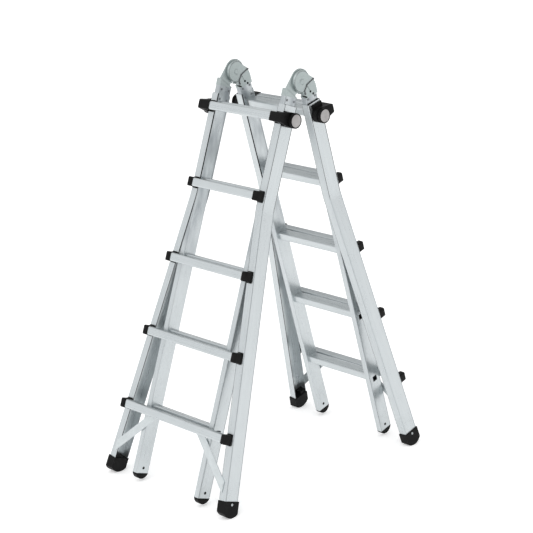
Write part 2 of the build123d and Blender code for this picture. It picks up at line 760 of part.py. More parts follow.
def rear_arm(side, name):
    """Fork of two cheeks that hold the lobe, on a block riveted into the rear stile.

    The near cheek, on the +X side, has a dished disc for a face.
    """
    facing = facing_of["rear"]
    x = side_of[side] * inner_centre
    near = stile_centre - inner_depth / 2
    radius, start = bar_radius_and_angle()
    swing = CenterArc(lever_pivot, radius, start - lever_throw, lever_throw)
    thumb_reach = hypot(thumb_bar[0] - lever_pivot[0], thumb_bar[1] - lever_pivot[1])
    thumb_angle = degrees(atan2(thumb_bar[1] - lever_pivot[1], thumb_bar[0] - lever_pivot[0]))
    thumb_swing = CenterArc(lever_pivot, thumb_reach, thumb_angle - 2 * lever_throw, 2 * lever_throw)
    inside, face = near_cheek
    with BuildPart() as arm:
        with BuildSketch(side_plane(facing, x + inside)):
            Circle(near_cheek_radius)
        extrude(amount=near_cheek_rim, dir=(1, 0, 0))
        with BuildSketch(side_plane(facing, x + inside + near_cheek_rim)):
            Circle(near_cheek_radius)
        slope = atan2(near_cheek_radius - near_cheek_face_radius, face - inside - near_cheek_rim)
        extrude(amount=face - inside - near_cheek_rim, dir=(1, 0, 0), taper=degrees(slope))
        with BuildSketch(side_plane(facing, x + inside)):
            Polygon(*near_cheek_neck(), (near, -shoulder(near)), (cheek_back, -52), (cheek_back, 0),
                    align=None)
        extrude(amount=face - inside, dir=(1, 0, 0))
        with BuildSketch(side_plane(facing, x + far_cheek[0])):
            arm_plate(far_cheek_radius, far_cheek_back, shoulder(far_cheek_back))
        extrude(amount=far_cheek[1] - far_cheek[0], dir=(1, 0, 0))
        with BuildSketch(side_plane(facing, x + far_cheek[1] - guard_thickness)):
            with BuildLine():
                low, high = [radians(angle) for angle in guard_angles]
                turns = (low, (low + high) / 2, high)
                corners = [(guard_radius * cos(turn), guard_radius * sin(turn)) for turn in turns]
                Line((0, 0), corners[0])
                ThreePointArc(*corners)
                Line(corners[2], (0, 0))
            make_face()
        extrude(amount=guard_thickness, dir=(1, 0, 0))
        arm_block(facing, x, (far_cheek[0], face), rear_inner_top)
        arm_tail(facing, x, rear_inner_top)
        rivet_holes(facing, x)
        with BuildSketch(side_plane(facing, x)):
            Circle(pin_radius + slack)
            SlotArc(swing, 2 * lock_bar_radius + 1)
            SlotArc(thumb_swing, 2 * thumb_bar_radius + 1)
        extrude(amount=2 * face, both=True, mode=Mode.SUBTRACT)
        with BuildSketch(side_plane(facing, x + far_cheek[0] - 1)):
            with Locations(lever_pivot):
                Circle(lock_bar_radius + 0.06)
        extrude(amount=pivot_end + 0.5 - far_cheek[0] + 1, dir=(1, 0, 0), mode=Mode.SUBTRACT)
        with BuildSketch(side_plane(facing, x + face - face_groove[2])):
            Circle(face_groove[1])
            Circle(face_groove[0], mode=Mode.SUBTRACT)
            Polygon(*near_cheek_neck(), (cheek_back, -52), (0, -52), align=None, mode=Mode.SUBTRACT)
        extrude(amount=face, dir=(1, 0, 0), mode=Mode.SUBTRACT)
        with BuildSketch(side_plane(facing, x + near_cheek[0])):
            with Locations(*spotter_holes):
                Circle(spotter_radius)
            SlotCenterPoint(buffer_middle, buffer_end, buffer_width + 2 * slack)
        extrude(amount=2 * face, dir=(1, 0, 0), mode=Mode.SUBTRACT)
        with BuildSketch(side_plane(facing, x + face - face_mark_size[1])):
            SlotCenterPoint(face_mark[0], face_mark[1], face_mark_size[0])
        extrude(amount=face, dir=(1, 0, 0), mode=Mode.SUBTRACT)
    save(arm, name)


def fold_buffers(name):
    """Rubber buffers on the near cheeks' lower corners."""
    facing = facing_of["rear"]
    with BuildPart() as buffers:
        for sign in (-1, 1):
            x = sign * inner_centre
            with BuildSketch(side_plane(facing, x + near_cheek[0] + 1)):
                SlotCenterPoint(buffer_middle, buffer_end, buffer_width)
            extrude(amount=near_cheek[1] - near_cheek[0] - 0.5, dir=(1, 0, 0))
    save(buffers, name)


def bar_radius_and_angle():
    """Polar place of the drawn-back lock bar about the lever's pivot."""
    across, up = lock_bar_drawn[0] - lever_pivot[0], lock_bar_drawn[1] - lever_pivot[1]
    return hypot(across, up), degrees(atan2(up, across))


def hinge_pin(side, name):
    """Pin with a flat head outside the far cheek and a conical boss on the near one."""
    facing = facing_of["rear"]
    x = side_of[side] * inner_centre
    far_end, near_end = far_cheek[0] - slack, near_cheek[1] + slack
    with BuildPart() as pin:
        with BuildSketch(side_plane(facing, x + far_end)):
            Circle(pin_radius)
        extrude(amount=near_end - far_end, dir=(1, 0, 0))
        with BuildSketch(side_plane(facing, x + far_end)):
            Circle(pin_head_radius)
        extrude(amount=pin_head_thickness, dir=(-1, 0, 0), taper=20)
        with BuildSketch(side_plane(facing, x + near_end)):
            Circle(pin_boss_radius)
        extrude(amount=pin_head_thickness, dir=(1, 0, 0), taper=pin_boss_taper)
    save(pin, name)


def release_lever(side, name):
    """Curved lever: two side plates joined by the lock bar and the thumb bar.

    It turns on a pivot that stands in from the far plate.
    """
    facing = facing_of["rear"]
    x = side_of[side] * inner_centre
    far_start = far_cheek[0] - lever_gap - lever_thickness
    near_start = near_cheek[1] + lever_gap
    spoke_end = ((thumb_bar[0] + lever_bends[0][0]) / 2, (thumb_bar[1] + lever_bends[0][1]) / 2)
    spoke_middle = ((lever_pivot[0] + spoke_end[0]) / 2, (lever_pivot[1] + spoke_end[1]) / 2)
    with BuildPart() as lever:
        for start in (far_start, near_start):
            with BuildSketch(side_plane(facing, x + start)):
                with BuildLine():
                    FilletPolyline(thumb_bar, *lever_bends, lock_bar_drawn, radius=lever_bend_radius)
                trace(line_width=lever_width)
                with Locations(lock_bar_drawn, thumb_bar):
                    Circle(lock_bar_radius + 0.6)
                if start == far_start:
                    SlotCenterPoint(spoke_middle, spoke_end, lever_width + 2)
                    with Locations(lever_pivot):
                        Circle(lock_bar_radius + 2.5)
            extrude(amount=lever_thickness, dir=(1, 0, 0))
        with BuildSketch(side_plane(facing, x + far_start)):
            with Locations(lock_bar_drawn):
                Circle(lock_bar_radius)
            with Locations(thumb_bar):
                Circle(thumb_bar_radius)
        extrude(amount=near_start + lever_thickness - far_start, dir=(1, 0, 0))
        with BuildSketch(side_plane(facing, x + far_start)):
            with Locations(lever_pivot):
                Circle(lock_bar_radius)
        extrude(amount=pivot_end - far_start, dir=(1, 0, 0))
    save(lever, name)


def hinge_rivets(half, name):
    """Domed rivets that hold the hinge arms in both stiles of one half."""
    facing = facing_of[half]
    with BuildPart() as rivets:
        for sign in (-1, 1):
            x = sign * inner_centre
            with BuildSketch(side_plane(facing, x)):
                with Locations(*rivet_spots()):
                    Circle(rivet_radius)
            extrude(amount=inner_width / 2 + slack, both=True)
            for direction in (-1, 1):
                with BuildSketch(side_plane(facing, x + direction * (inner_width / 2 + slack))):
                    with Locations(*rivet_spots()):
                        Circle(rivet_head_radius)
                extrude(amount=rivet_head_thickness, dir=(direction, 0, 0), taper=25)
    save(rivets, name)


# ---------------------------------------------------------------- the whole ladder

for half in facing_of:
    inner_rungs(half, f"{half}_inner_rungs")
    inner_end_caps(half, f"{half}_inner_end_caps")
    rung_caps(half, f"{half}_rung_caps")
    guide_strips(half, f"{half}_guide_strips")
    lock_springs(half, f"{half}_lock_springs")
    foot_screws(half, f"{half}_foot_screws")
    strap_rivet_group(half, f"{half}_brace_rivets")
    hinge_rivets(half, f"{half}_hinge_rivets")
    for number in range(1, rung_count + 1):
        outer_rung(half, number, f"{half}_outer_rung_{number}")
    for side in side_of:
        inner_stile(half, side, f"{half}_inner_stile_{side}")
        outer_stile(half, side, f"{half}_outer_stile_{side}")
        lock_housing(half, side, f"{half}_lock_housing_{side}")
        lock_knob(half, side, f"{half}_lock_knob_{side}")
        lock_bolt(half, side, f"{half}_lock_bolt_{side}")
        foot(half, side, f"{half}_foot_{side}")
        brace_strap(half, side, f"{half}_brace_strap_{side}")

for side in side_of:
    front_arm(side, f"front_hinge_arm_{side}")
    rear_arm(side, f"rear_hinge_arm_{side}")
    hinge_pin(side, f"hinge_pin_{side}")
    release_lever(side, f"release_lever_{side}")

fold_buffers("fold_buffers")
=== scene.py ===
"""Looks of the multi position ladder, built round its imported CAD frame. Metres, +Z up.

Each half of the ladder is described in its own directions: x along the rungs, n out of the
climbing side and s down the stile, all from the hinge axis.
"""
import json
from math import cos, pi, radians, sin, tau

import bmesh
import bpy
from mathutils import Matrix, Vector


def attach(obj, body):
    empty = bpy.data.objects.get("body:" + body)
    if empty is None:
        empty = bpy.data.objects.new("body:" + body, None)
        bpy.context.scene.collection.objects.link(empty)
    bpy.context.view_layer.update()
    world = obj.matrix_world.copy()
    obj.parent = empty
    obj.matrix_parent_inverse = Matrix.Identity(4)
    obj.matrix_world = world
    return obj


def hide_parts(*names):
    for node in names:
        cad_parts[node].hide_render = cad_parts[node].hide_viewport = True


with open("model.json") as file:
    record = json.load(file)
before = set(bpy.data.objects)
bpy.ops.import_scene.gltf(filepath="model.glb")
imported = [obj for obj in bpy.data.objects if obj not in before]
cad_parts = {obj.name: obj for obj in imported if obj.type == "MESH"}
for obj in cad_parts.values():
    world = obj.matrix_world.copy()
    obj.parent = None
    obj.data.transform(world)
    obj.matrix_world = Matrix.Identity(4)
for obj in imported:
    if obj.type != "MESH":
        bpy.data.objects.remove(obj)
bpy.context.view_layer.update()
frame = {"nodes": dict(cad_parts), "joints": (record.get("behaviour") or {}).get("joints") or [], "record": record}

HALVES = ("front", "rear")
SIDES = {"left": -1, "right": 1}
MM = 0.001
joints = {j["name"]: j for j in frame["joints"]}
hinge = Vector(joints["fold"]["pos_m"])


# ---------------------------------------------------------------- directions of each half

def directions(half):
    """Matrix from (x, n, s) to the row frame."""
    down = Vector(joints[f"{half}_extend"]["axis"]).normalized()
    facing = 1 if half == "front" else -1
    out = Vector((0, facing * down.z, -facing * down.y))
    turn = Matrix((Vector((1, 0, 0)), out, down)).transposed()
    return Matrix.Translation(hinge) @ turn.to_4x4()


LOCAL = {half: directions(half) for half in HALVES}


def extent(node):
    """Lowest and highest (x, n, s) of a CAD node."""
    half = "front" if node.startswith("front") else "rear"
    inverse = LOCAL[half].inverted()
    spots = [inverse @ v.co for v in frame["nodes"][node].data.vertices]
    low = Vector([min(p[i] for p in spots) for i in range(3)])
    high = Vector([max(p[i] for p in spots) for i in range(3)])
    return low, high


def stile_outline():
    """(reach, bend, slope): half width over the outer stiles, where they bend and how they flare."""
    inverse = LOCAL["front"].inverted()
    spots = [inverse @ v.co for v in frame["nodes"]["front_outer_stile_right"].data.vertices]
    edge = {}
    for p in spots:
        key = round(p.z, 3)
        edge[key] = max(edge.get(key, 0), p.x)
    levels = sorted(edge)
    reach = edge[levels[0]]
    lowest, above = levels[-1], [k for k in levels if k < levels[-1] - 0.2][-1]
    slope = (edge[lowest] - edge[above]) / (lowest - above)
    return reach, lowest - (edge[lowest] - reach) / slope, slope


REACH, BEND, SLOPE = stile_outline()


def flared(s):
    """How far out the flare takes the stile at s."""
    return max(0.0, s - BEND) * SLOPE


# ---------------------------------------------------------------- materials

class Shader:
    """A material's node tree, with short calls for the nodes used here."""

    def __init__(self, name):
        self.material = bpy.data.materials.new(name)
        self.material.use_nodes = True
        self.tree = self.material.node_tree
        self.surface = self.tree.nodes["Principled BSDF"]

    def add(self, kind, **values):
        node = self.tree.nodes.new(kind)
        for key, value in values.items():
            setattr(node, key, value)
        return node

    def link(self, source, target):
        self.tree.links.new(source, target)

    def put(self, socket, value):
        if isinstance(value, bpy.types.NodeSocket):
            self.link(value, socket)
        else:
            socket.default_value = value

    def math(self, operation, first, second=0.0):
        node = self.add("ShaderNodeMath", operation=operation)
        self.put(node.inputs[0], first)
        self.put(node.inputs[1], second)
        return node.outputs[0]

    def dot(self, vector, direction):
        node = self.add("ShaderNodeVectorMath", operation="DOT_PRODUCT")
        self.link(vector, node.inputs[0])
        node.inputs[1].default_value = direction
        return node.outputs["Value"]

    def place(self):
        return self.add("ShaderNodeTexCoord").outputs["Object"]

    def noise(self, vector, scale, detail=2.0, rough=0.5):
        node = self.add("ShaderNodeTexNoise")
        self.link(vector, node.inputs["Vector"])
        node.inputs["Scale"].default_value = scale
        node.inputs["Detail"].default_value = detail
        node.inputs["Roughness"].default_value = rough
        return node.outputs["Fac"]

    def between(self, amount, low, high):
        """A number that runs from low to high as amount runs from 0.3 to 0.7."""
        node = self.add("ShaderNodeMapRange")
        self.link(amount, node.inputs["Value"])
        node.inputs["From Min"].default_value = 0.3
        node.inputs["From Max"].default_value = 0.7
        node.inputs["To Min"].default_value = low
        node.inputs["To Max"].default_value = high
        return node.outputs["Result"]

    def tint(self, amount, dark, light):
        node = self.add("ShaderNodeMix", data_type="RGBA")
        self.link(amount, node.inputs["Factor"])
        node.inputs["A"].default_value = (*dark, 1)
        node.inputs["B"].default_value = (*light, 1)
        return node.outputs["Result"]

    def cover(self, amount, colour, top):
        """The colour, with the top one laid over it where amount is 1."""
        node = self.add("ShaderNodeMix", data_type="RGBA")
        self.link(amount, node.inputs["Factor"])
        self.link(colour, node.inputs["A"])
        node.inputs["B"].default_value = (*top, 1)
        return node.outputs["Result"]

    def split(self, vector):
        node = self.add("ShaderNodeSeparateXYZ")
        self.link(vector, node.inputs[0])
        return node.outputs

    def bump(self, height, distance, strength=1.0):
        node = self.add("ShaderNodeBump")
        self.link(height, node.inputs["Height"])
        node.inputs["Distance"].default_value = distance
        node.inputs["Strength"].default_value = strength
        return node.outputs["Normal"]

    def finish(self, colour, rough, normal, metallic=0.0, specular=0.5):
        self.put(self.surface.inputs["Base Color"], colour)
        self.put(self.surface.inputs["Roughness"], rough)
        self.put(self.surface.inputs["Normal"], normal)
        self.surface.inputs["Metallic"].default_value = metallic
        self.surface.inputs["Specular IOR Level"].default_value = specular
        return self.material


def grain(shader, half, along_stile):
    """Coordinates (across, out, along) that follow the stiles' bend, or the rungs."""
    spot = shader.place()
    turn = LOCAL[half].to_3x3()
    out, down = turn.col[1], turn.col[2]
    s = shader.math("SUBTRACT", shader.dot(spot, down), hinge.dot(down))
    n = shader.dot(spot, out)
    x = shader.math("ABSOLUTE", shader.dot(spot, (1, 0, 0)))
    flare = shader.math("MULTIPLY", shader.math("MAXIMUM", shader.math("SUBTRACT", s, BEND), 0.0), SLOPE)
    across = shader.math("SUBTRACT", x, flare)
    join = shader.add("ShaderNodeCombineXYZ")
    first, last = (across, s) if along_stile else (s, x)
    shader.link(first, join.inputs[0])
    shader.link(n, join.inputs[1])
    shader.link(last, join.inputs[2])
    return join.outputs[0]


def stretched(shader, vector, along):
    """The same coordinates, drawn out along the extrusion."""
    node = shader.add("ShaderNodeVectorMath", operation="MULTIPLY")
    shader.link(vector, node.inputs[0])
    node.inputs[1].default_value = (1, 1, along)
    return node.outputs[0]


def corner_groove_shade(shader, spot, half):
    """1 in the grooves beside the outer stiles' corners, which take painted shade, and 0 elsewhere."""
    across, n, _ = shader.split(spot)
    middle = hinge.dot(LOCAL[half].to_3x3().col[1]) + STILE_CENTRE
    beside = shader.math("ABSOLUTE", shader.math("SUBTRACT", n, middle))
    off_line = shader.math("ABSOLUTE", shader.math("SUBTRACT", beside, GROOVE_AT))
    near = shader.math("LESS_THAN", off_line, GROOVE_WIDTH / 2 + 0.1 * MM)
    shallow, deep = GROOVE_DEPTHS
    below = shader.math("LESS_THAN", across, REACH - shallow)
    above = shader.math("GREATER_THAN", across, REACH - deep)
    return shader.math("MULTIPLY", near, shader.math("MULTIPLY", below, above))


def aluminium(name, half, along_stile, inner=False):
    """Extruded aluminium: fine die lines along the profile and faint cloudy variation.

    On the upper inner stiles, long darker patches paint the reflection of the dark parts round them; the outer
    stiles' corner grooves get painted shade.
    """
    shader = Shader(name)
    spot = grain(shader, half, along_stile)
    lines = shader.noise(stretched(shader, spot, 0.012), 900, 3, 0.6)
    bands = shader.noise(stretched(shader, spot, 0.03), 110, 2)
    clouds = shader.noise(spot, 9, 3)
    mixed = shader.math("ADD", shader.math("MULTIPLY", lines, 0.45),
                        shader.math("ADD", shader.math("MULTIPLY", bands, 0.3),
                                    shader.math("MULTIPLY", clouds, 0.25)))
    colour = shader.tint(shader.between(mixed, 0.0, 1.0), ALUMINIUM_DARK, ALUMINIUM_LIGHT)
    if inner:
        # Painted reflection: darker patches on the upper stretch of the inner stiles.
        patches = shader.between(shader.noise(stretched(shader, spot, 0.3), 34, 2), 0.0, 1.0)
        upper = shader.add("ShaderNodeMapRange")
        shader.link(shader.split(spot)[2], upper.inputs["Value"])
        for socket, value in zip(("From Min", "From Max", "To Min", "To Max"), PAINTED_REFLECTION_ABOVE + (1, 0)):
            upper.inputs[socket].default_value = value
        patches = shader.math("MULTIPLY", patches, upper.outputs["Result"])
        colour = shader.cover(patches, colour, ALUMINIUM_PAINTED_REFLECTION)
    elif along_stile:
        # The grooves beside the corners get near-black painted shade.
        colour = shader.cover(corner_groove_shade(shader, spot, half), colour, GROOVE_PAINTED_SHADE)
    rough = shader.between(mixed, 0.24, 0.34)
    normal = shader.bump(lines, 0.00003, 0.6)
    return shader.finish(colour, rough, normal, metallic=0.88)


def ring_groove_shade(shader, spot):
    """1 in the ring grooves of the hinge faces, which take painted shade, and 0 elsewhere."""
    x, y, z = shader.split(spot)
    away = shader.math("SUBTRACT", z, hinge.z)
    radius = shader.math("SQRT", shader.math("ADD", shader.math("MULTIPLY", y, y),
                                             shader.math("MULTIPLY", away, away)))
    around = shader.math("LESS_THAN", shader.math("ABSOLUTE", shader.math("SUBTRACT", radius, RING_AT)),
                         RING_WIDTH / 2)
    depth = [shader.math("ABSOLUTE", shader.math("SUBTRACT", x, face - RING_MIDDLE)) for face in HINGE_FACES]
    sunk = shader.math("LESS_THAN", shader.math("MINIMUM", *depth), RING_HALF_DEPTH)
    return shader.math("MULTIPLY", around, sunk)


def zinc(name, dark, light, rough, with_ring_shade=False):
    """Plated steel: a fine crystalline mottle with slightly duller patches and, where asked, painted shade in the
    ring grooves.
    """
    shader = Shader(name)
    spot = shader.place()
    cells = shader.add("ShaderNodeTexVoronoi")
    shader.link(spot, cells.inputs["Vector"])
    cells.inputs["Scale"].default_value = 420
    fine = shader.noise(spot, 700, 2)
    clouds = shader.noise(spot, 45, 3)
    mixed = shader.math("ADD", shader.math("MULTIPLY", clouds, 0.6),
                        shader.math("MULTIPLY", cells.outputs["Distance"], 0.4))
    colour = shader.tint(shader.between(mixed, 0.0, 1.0), dark, light)
    if with_ring_shade:
        # The ring groove gets near-black painted shade.
        colour = shader.cover(ring_groove_shade(shader, spot), colour, GROOVE_PAINTED_SHADE)
    normal = shader.bump(fine, 0.00004, 0.5)
    return shader.finish(colour, shader.between(clouds, rough - 0.05, rough + 0.05), normal, metallic=0.85)


def plastic(name, dark, light, rough, grain_size=0.0007, specular=0.4):
    """Moulded plastic with a fine spark-eroded grain."""
    shader = Shader(name)
    spot = shader.place()
    pits = shader.add("ShaderNodeTexVoronoi")
    shader.link(spot, pits.inputs["Vector"])
    pits.inputs["Scale"].default_value = 1 / grain_size
    clouds = shader.noise(spot, 30, 3)
    colour = shader.tint(shader.between(clouds, 0.0, 1.0), dark, light)
    normal = shader.bump(pits.outputs["Distance"], 0.00008, 0.5)
    rough = shader.between(clouds, rough - 0.06, rough + 0.06)
    return shader.finish(colour, rough, normal, specular=specular)


ALUMINIUM_DARK = (0.51, 0.545, 0.56)
ALUMINIUM_LIGHT = (0.615, 0.65, 0.66)
# The painted reflection's tone on the inner stiles, and the range of s over which it fades out.
ALUMINIUM_PAINTED_REFLECTION = (0.36, 0.39, 0.41)
PAINTED_REFLECTION_ABOVE = (0.55, 0.80)
# Near black painted into the stile and hinge grooves as their shade.
GROOVE_PAINTED_SHADE = (0.07, 0.075, 0.08)
STILE_CENTRE = 31.6 * MM
GROOVE_AT = 28.2 * MM
GROOVE_WIDTH = 2.1 * MM
GROOVE_DEPTHS = (0.2 * MM, 1.7 * MM)
RING_AT = 36.65 * MM
RING_WIDTH = 2.2 * MM
RING_MIDDLE = 0.85 * MM
RING_HALF_DEPTH = 0.78 * MM
HINGE_FACES = [extent(f"rear_hinge_arm_{side}")[1].x for side in SIDES]

STILE = {half: aluminium(f"{half}_stile_aluminium", half, True) for half in HALVES}
INNER_STILE = {half: aluminium(f"{half}_inner_aluminium", half, True, inner=True) for half in HALVES}
RUNG = {half: aluminium(f"{half}_rung_aluminium", half, False) for half in HALVES}
ZINC = zinc("hinge_zinc", (0.36, 0.41, 0.41), (0.45, 0.50, 0.495), 0.4, with_ring_shade=True)
STRAP = zinc("strap_zinc", (0.56, 0.60, 0.61), (0.66, 0.70, 0.71), 0.42)
FASTENER = zinc("fastener_steel", (0.17, 0.18, 0.19), (0.26, 0.27, 0.28), 0.4)
BLACK = plastic("black_plastic", (0.005, 0.005, 0.005), (0.010, 0.010, 0.010), 0.46, specular=0.08)
# The release lever is a real part; its near-black colour is partly painted shade, standing in for the shaded slot
# round it.
LEVER_PAINTED_SHADE = zinc("lever_steel_painted_shade", (0.10, 0.105, 0.11), (0.16, 0.165, 0.17), 0.42)
DISC = plastic("disc_grey", (0.34, 0.325, 0.32), (0.44, 0.425, 0.42), 0.4, 0.0005)

SLOT_LOOKS = {"zinc_steel": ZINC, "strap_steel": STRAP, "fastener_steel": FASTENER, "black_plastic": BLACK}
SLOT_OF = {row["node"]: row["material_slot"] for row in frame["record"]["subparts"]}
BODY_OF = {node: body for body, nodes in frame["record"]["behaviour"]["bodies"].items() for node in nodes}
OWN_LOOKS = {"release_lever": LEVER_PAINTED_SHADE, "brace_rivets": STRAP, "foot_screws": STRAP, "hinge_pin": ZINC}


def look_of(node):
    """The node's own look, or else that of its slot, or of the aluminium part that it is."""
    for kind, look in OWN_LOOKS.items():
        if kind in node:
            return look
    if SLOT_OF[node] in SLOT_LOOKS:
        return SLOT_LOOKS[SLOT_OF[node]]
    half = node.split("_")[0]
    if "inner_stile" in node:
        return INNER_STILE[half]
    return STILE[half] if "stile" in node else RUNG[half]


def dress_cad_nodes():
    """Gives every CAD node its material."""
    for name, node in frame["nodes"].items():
        node.data.materials.clear()
        node.data.materials.append(look_of(name))


dress_cad_nodes()


# ---------------------------------------------------------------- making pieces

def settle(name, mesh, look, body, nodes=(), width=0.0, angle=35):
    piece = bpy.data.objects.new(name, mesh)
    bpy.context.scene.collection.objects.link(piece)
    mesh.materials.clear()
    mesh.materials.append(look)
    mesh.shade_smooth()
    if width:
        bevel = piece.modifiers.new("rounding", "BEVEL")
        bevel.width = width
        bevel.segments = 3
        bevel.limit_method = "ANGLE"
        bevel.angle_limit = radians(angle)
        bevel.use_clamp_overlap = True
        piece.modifiers.new("shading", "WEIGHTED_NORMAL").keep_sharp = True
    else:
        mesh.set_sharp_from_angle(angle=radians(angle))
    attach(piece, body)
    if nodes:
        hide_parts(*nodes)
    return piece


WELD = 0.002 * MM


def softened(node, width):
    """The node's own shape with its edges rounded over."""
    form = bmesh.new()
    form.from_mesh(frame["nodes"][node].data)
    bmesh.ops.remove_doubles(form, verts=form.verts, dist=WELD)
    bmesh.ops.dissolve_limit(form, angle_limit=radians(1.0), verts=form.verts, edges=form.edges)
    mesh = bpy.data.meshes.new(f"{node}_form")
    form.to_mesh(mesh)
    form.free()
    return settle(f"{node}_form", mesh, look_of(node), BODY_OF[node], [node], width)


def ring(form, points):
    return [form.verts.new(p) for p in points]


def skin(form, rings):
    """Faces between rings of equal length, with caps on the first and last."""
    for first, second in zip(rings, rings[1:]):
        for k, here in enumerate(first):
            form.faces.new((here, first[k - 1], second[k - 1], second[k]))
    form.faces.new(rings[0])
    form.faces.new(rings[-1][::-1])


def finished(form, name):
    bmesh.ops.recalc_face_normals(form, faces=form.faces)
    mesh = bpy.data.meshes.new(name)
    form.to_mesh(mesh)
    form.free()
    return mesh


def lathe(form, centre, axis, profile, steps=48):
    """Turns a profile of (distance along the axis, radius) round it."""
    axis = Vector(axis).normalized()
    side = axis.orthogonal().normalized()
    other = axis.cross(side)
    rings = []
    for along, radius in profile:
        points = []
        for k in range(steps):
            turn = tau * k / steps
            points.append(centre + axis * along + (side * cos(turn) + other * sin(turn)) * max(radius, 1e-5))
        rings.append(ring(form, points))
    skin(form, rings)


def rounded_rectangle(width, height, corner, steps=5):
    """Points round a rectangle with rounded corners, about its middle."""
    points = []
    for quarter, (sx, sy) in enumerate(((1, 1), (-1, 1), (-1, -1), (1, -1))):
        for k in range(steps + 1):
            turn = pi / 2 * (quarter + k / steps)
            points.append((sx * (width / 2 - corner) + corner * cos(turn),
                           sy * (height / 2 - corner) + corner * sin(turn)))
    return points


# ---------------------------------------------------------------- plastic parts

CAP_WIDTH = 24 * MM
CAP_PAST_RUNG = 3.2 * MM
CAP_STACK = [(share, width * MM, height * MM, corner * MM) for share, width, height, corner in (
    (0.0, 25, 41, 4.5), (0.015, 26, 42, 5), (0.085, 26, 42, 5), (0.10, 25.6, 41.4, 5),
    (0.16, 24.6, 38.4, 4.8), (0.26, 24.1, 36.0, 4.6), (0.42, 24, 34.6, 4.4), (0.93, 24, 34, 4.2),
    (0.97, 23.4, 33.4, 4.2), (0.99, 22.2, 32.2, 4), (1.0, 20.2, 30.2, 3.6))]


def rung_caps(half):
    """Sockets at the rungs' ends: a wide foot on the stile that narrows to the rung's size."""
    node = f"{half}_rung_caps"
    low, high = extent(node)
    depth = high.y - low.y
    levels = [extent(f"{half}_outer_rung_{k}") for k in range(2, 6)]
    form = bmesh.new()
    for rung_low, rung_high in levels:
        s = (rung_low.z + rung_high.z) / 2
        outside = rung_high.x + CAP_PAST_RUNG
        for sign in (-1, 1):
            rings = []
            for out, width, height, corner in CAP_STACK:
                x = sign * (outside - CAP_WIDTH / 2)
                points = [LOCAL[half] @ Vector((x + a, low.y + out * depth, s + b))
                          for a, b in rounded_rectangle(width, height, corner)]
                rings.append(ring(form, points))
            skin(form, rings)
    settle(f"{node}_form", finished(form, node), BLACK, BODY_OF[node], [node], angle=40)


def knob(half, side):
    """Cup-shaped knob with a grooved skirt and a plain pale disc let into its face.

    The cup is hollow round its hub, so that it slides over the housing's sleeve.
    """
    node = f"{half}_lock_knob_{side}"
    sign = SIDES[side]
    low, high = extent(node)
    reach = high.x - low.x
    start = low.x if sign > 0 else high.x
    radius = (high.z - low.z) / 2
    centre = LOCAL[half] @ Vector((start, (low.y + high.y) / 2, (low.z + high.z) / 2))
    axis = (sign, 0, 0)
    form = bmesh.new()
    r, mm = radius, MM
    cup = (7 * mm, r - 2.6 * mm)
    hub = 9 * mm
    bore = (6.2 * mm, 4.6 * mm)
    profile = [(bore[0], 0), bore, (0, bore[1]), (0, hub), (cup[0], hub), cup,
               (0.4 * mm, cup[1]), (0, cup[1] + 0.4 * mm),
               (0, r - 0.8 * mm), (0.3 * mm, r - 0.2 * mm), (0.8 * mm, r), (1.8 * mm, r),
               (2.0 * mm, r - 0.5 * mm), (2.6 * mm, r - 0.5 * mm), (2.8 * mm, r),
               (reach - 2.0 * mm, r), (reach - 1.0 * mm, r - 0.3 * mm), (reach - 0.3 * mm, r - 0.9 * mm),
               (reach, r - 1.8 * mm), (reach, r - 2.6 * mm), (reach - 0.3 * mm, r - 2.9 * mm),
               (reach - 1.0 * mm, r - 3.0 * mm), (reach - 1.0 * mm, 1 * mm), (reach - 1.2 * mm, 0)]
    lathe(form, centre, axis, profile, 64)
    settle(f"{node}_form", finished(form, node), BLACK, BODY_OF[node], [node], angle=40)
    form = bmesh.new()
    face = r - 4.6 * mm
    lathe(form, centre, axis, [(reach - 1.1 * mm, 0), (reach - 1.1 * mm, face), (reach - 0.6 * mm, face),
                               (reach - 0.4 * mm, face - 0.3 * mm), (reach - 0.4 * mm, face - 2.2 * mm),
                               (reach - 0.6 * mm, face - 2.5 * mm), (reach - 0.6 * mm, face - 3.0 * mm),
                               (reach - 0.4 * mm, face - 3.3 * mm), (reach - 0.3 * mm, 6 * mm),
                               (reach - 0.25 * mm, 0)], 64)
    settle(f"{half}_knob_disc_{side}", finished(form, node), DISC, BODY_OF[node], angle=40)


SPOTTER_HOLES = ((28.3 * MM, 50 * MM), (39 * MM, 62.6 * MM))
PLUG_SHAPE = [(-2 * MM, 0), (-2 * MM, 3.0 * MM), (0.05 * MM, 3.0 * MM), (0.05 * MM, 4.2 * MM),
              (0.3 * MM, 4.2 * MM), (0.5 * MM, 3.8 * MM), (0.6 * MM, 0)]


def hole_shade_plugs(side):
    """Black plugs filling the two holes of the hinge's near cheek, painting the holes' shade."""
    arm = f"rear_hinge_arm_{side}"
    face = extent(arm)[1].x
    form = bmesh.new()
    for n, s in SPOTTER_HOLES:
        lathe(form, LOCAL["rear"] @ Vector((face, n, s)), (1, 0, 0), PLUG_SHAPE, 32)
    name = f"hinge_hole_plugs_{side}"
    settle(name, finished(form, name), BLACK, BODY_OF[arm], angle=40)


BUTTON_SHAPE = [(-1.8 * MM, 0), (-1.8 * MM, 4.4 * MM), (0.05 * MM, 4.4 * MM), (0.05 * MM, 5.3 * MM),
                (0.3 * MM, 5.3 * MM), (0.5 * MM, 4.9 * MM), (0.6 * MM, 0)]
BUTTON_LEVEL = 1474 * MM


